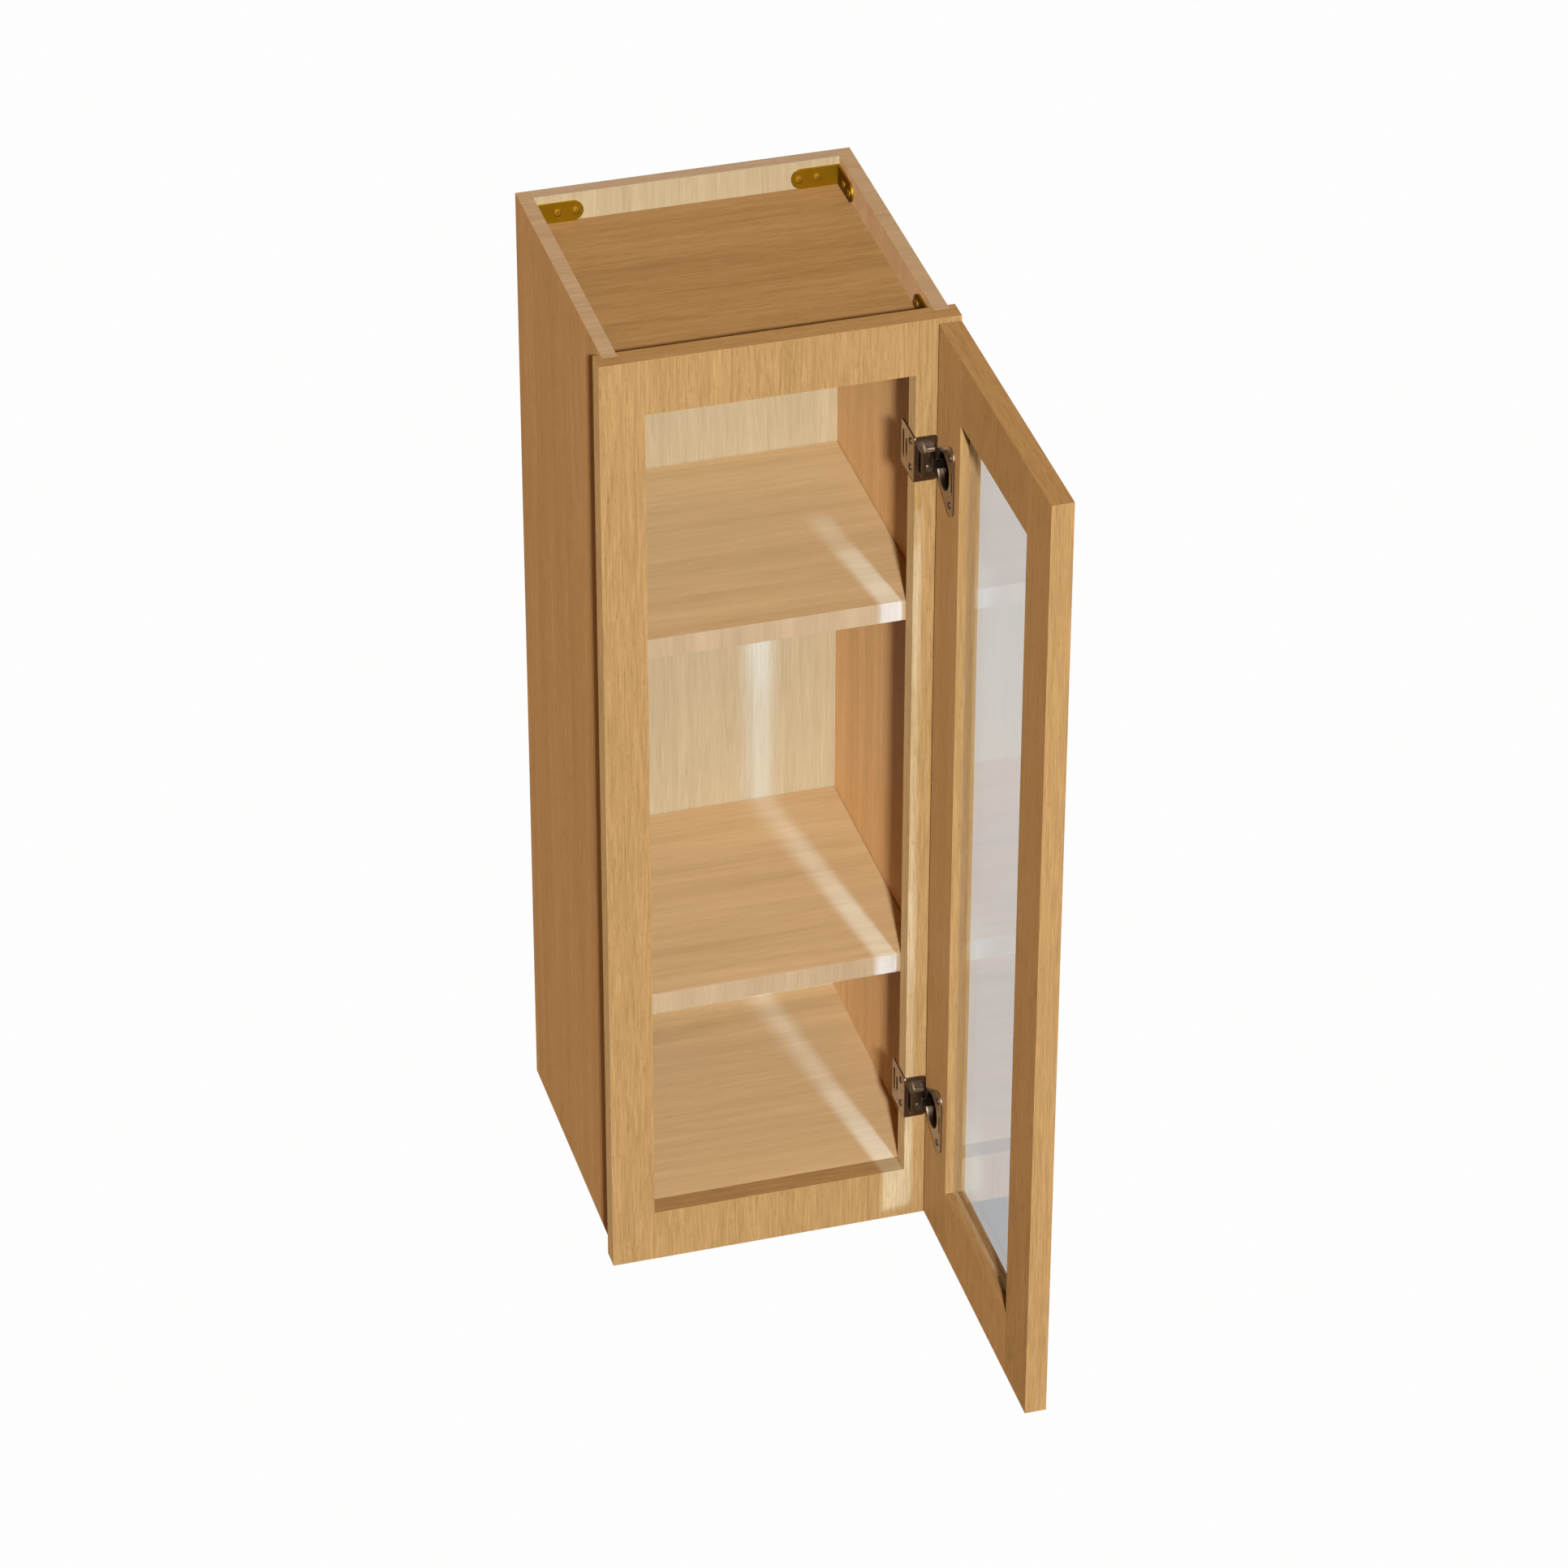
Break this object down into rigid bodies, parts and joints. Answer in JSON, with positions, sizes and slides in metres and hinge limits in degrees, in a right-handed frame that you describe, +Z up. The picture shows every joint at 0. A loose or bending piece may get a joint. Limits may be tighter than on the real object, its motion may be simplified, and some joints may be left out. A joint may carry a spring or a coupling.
{
  "type": "hanging wall cabinet",
  "caption": "Narrow face-frame wall cabinet with adjustable shelves and a framed glass door on concealed hinges.",
  "frame": {"origin": "middle of the wall face at the cabinet's lower edge; the wall is the plane Y = 0", "axes": "+Z up the wall, -Y out of the wall towards the front, +X to the right as the cabinet is faced"},
  "size_m": [0.3048, 0.5946, 0.9144],
  "materials": {
    "side_veneer": "satin lacquered oak veneer",
    "inner_veneer": "satin lacquered light veneer",
    "frame_oak": "satin lacquered oak",
    "door_oak": "satin lacquered oak",
    "clear_glass": "clear float glass",
    "hinge_steel": "nickel-plated steel",
    "hinge_pin_steel": "ground steel",
    "spring_steel": "oiled spring steel",
    "hinge_screw_steel": "nickel-plated steel",
    "shelf_pin_steel": "nickel-plated steel",
    "bracket_brass": "yellow-passivated, dull",
    "bracket_screw_brass": "yellow-passivated, dull"
  },
  "bodies": {
    "carcass": {"back_panel": "inner_veneer", "bottom_panel": "inner_veneer", "bracket_bottom_back_left": "bracket_brass", "bracket_bottom_back_right": "bracket_brass", "bracket_bottom_front_left": "bracket_brass", "bracket_bottom_front_right": "bracket_brass", "bracket_screws_bottom": "bracket_screw_brass", "bracket_screws_top": "bracket_screw_brass", "bracket_top_back_left": "bracket_brass", "bracket_top_back_right": "bracket_brass", "bracket_top_front_left": "bracket_brass", "bracket_top_front_right": "bracket_brass", "frame_bottom_rail": "frame_oak", "frame_left_stile": "frame_oak", "frame_right_stile": "frame_oak", "frame_top_rail": "frame_oak", "left_side_panel": "side_veneer", "lower_hinge_arm": "hinge_steel", "lower_hinge_clamp_screw": "hinge_screw_steel", "lower_hinge_plate": "hinge_steel", "lower_hinge_plate_screws": "hinge_screw_steel", "lower_hinge_spring": "spring_steel", "lower_shelf": "inner_veneer", "lower_shelf_pins": "shelf_pin_steel", "right_side_panel": "side_veneer", "top_panel": "inner_veneer", "upper_hinge_arm": "hinge_steel", "upper_hinge_clamp_screw": "hinge_screw_steel", "upper_hinge_plate": "hinge_steel", "upper_hinge_plate_screws": "hinge_screw_steel", "upper_hinge_spring": "spring_steel", "upper_shelf": "inner_veneer", "upper_shelf_pins": "shelf_pin_steel"},
    "door": {"door_bottom_rail": "door_oak", "door_free_stile": "door_oak", "door_glass": "clear_glass", "door_hinge_stile": "door_oak", "door_top_rail": "door_oak", "lower_hinge_cup": "hinge_steel", "lower_hinge_cup_screws": "hinge_screw_steel", "lower_hinge_pin": "hinge_pin_steel", "upper_hinge_cup": "hinge_steel", "upper_hinge_cup_screws": "hinge_screw_steel", "upper_hinge_pin": "hinge_pin_steel"}
  },
  "joints": [
    {"name": "door_swing", "type": "hinge", "parent": "carcass", "child": "door", "pos_m": [0.1396, -0.30895, 0.4572], "axis": [0, 0, 1], "range_deg": [-90, 15]}
  ]
}
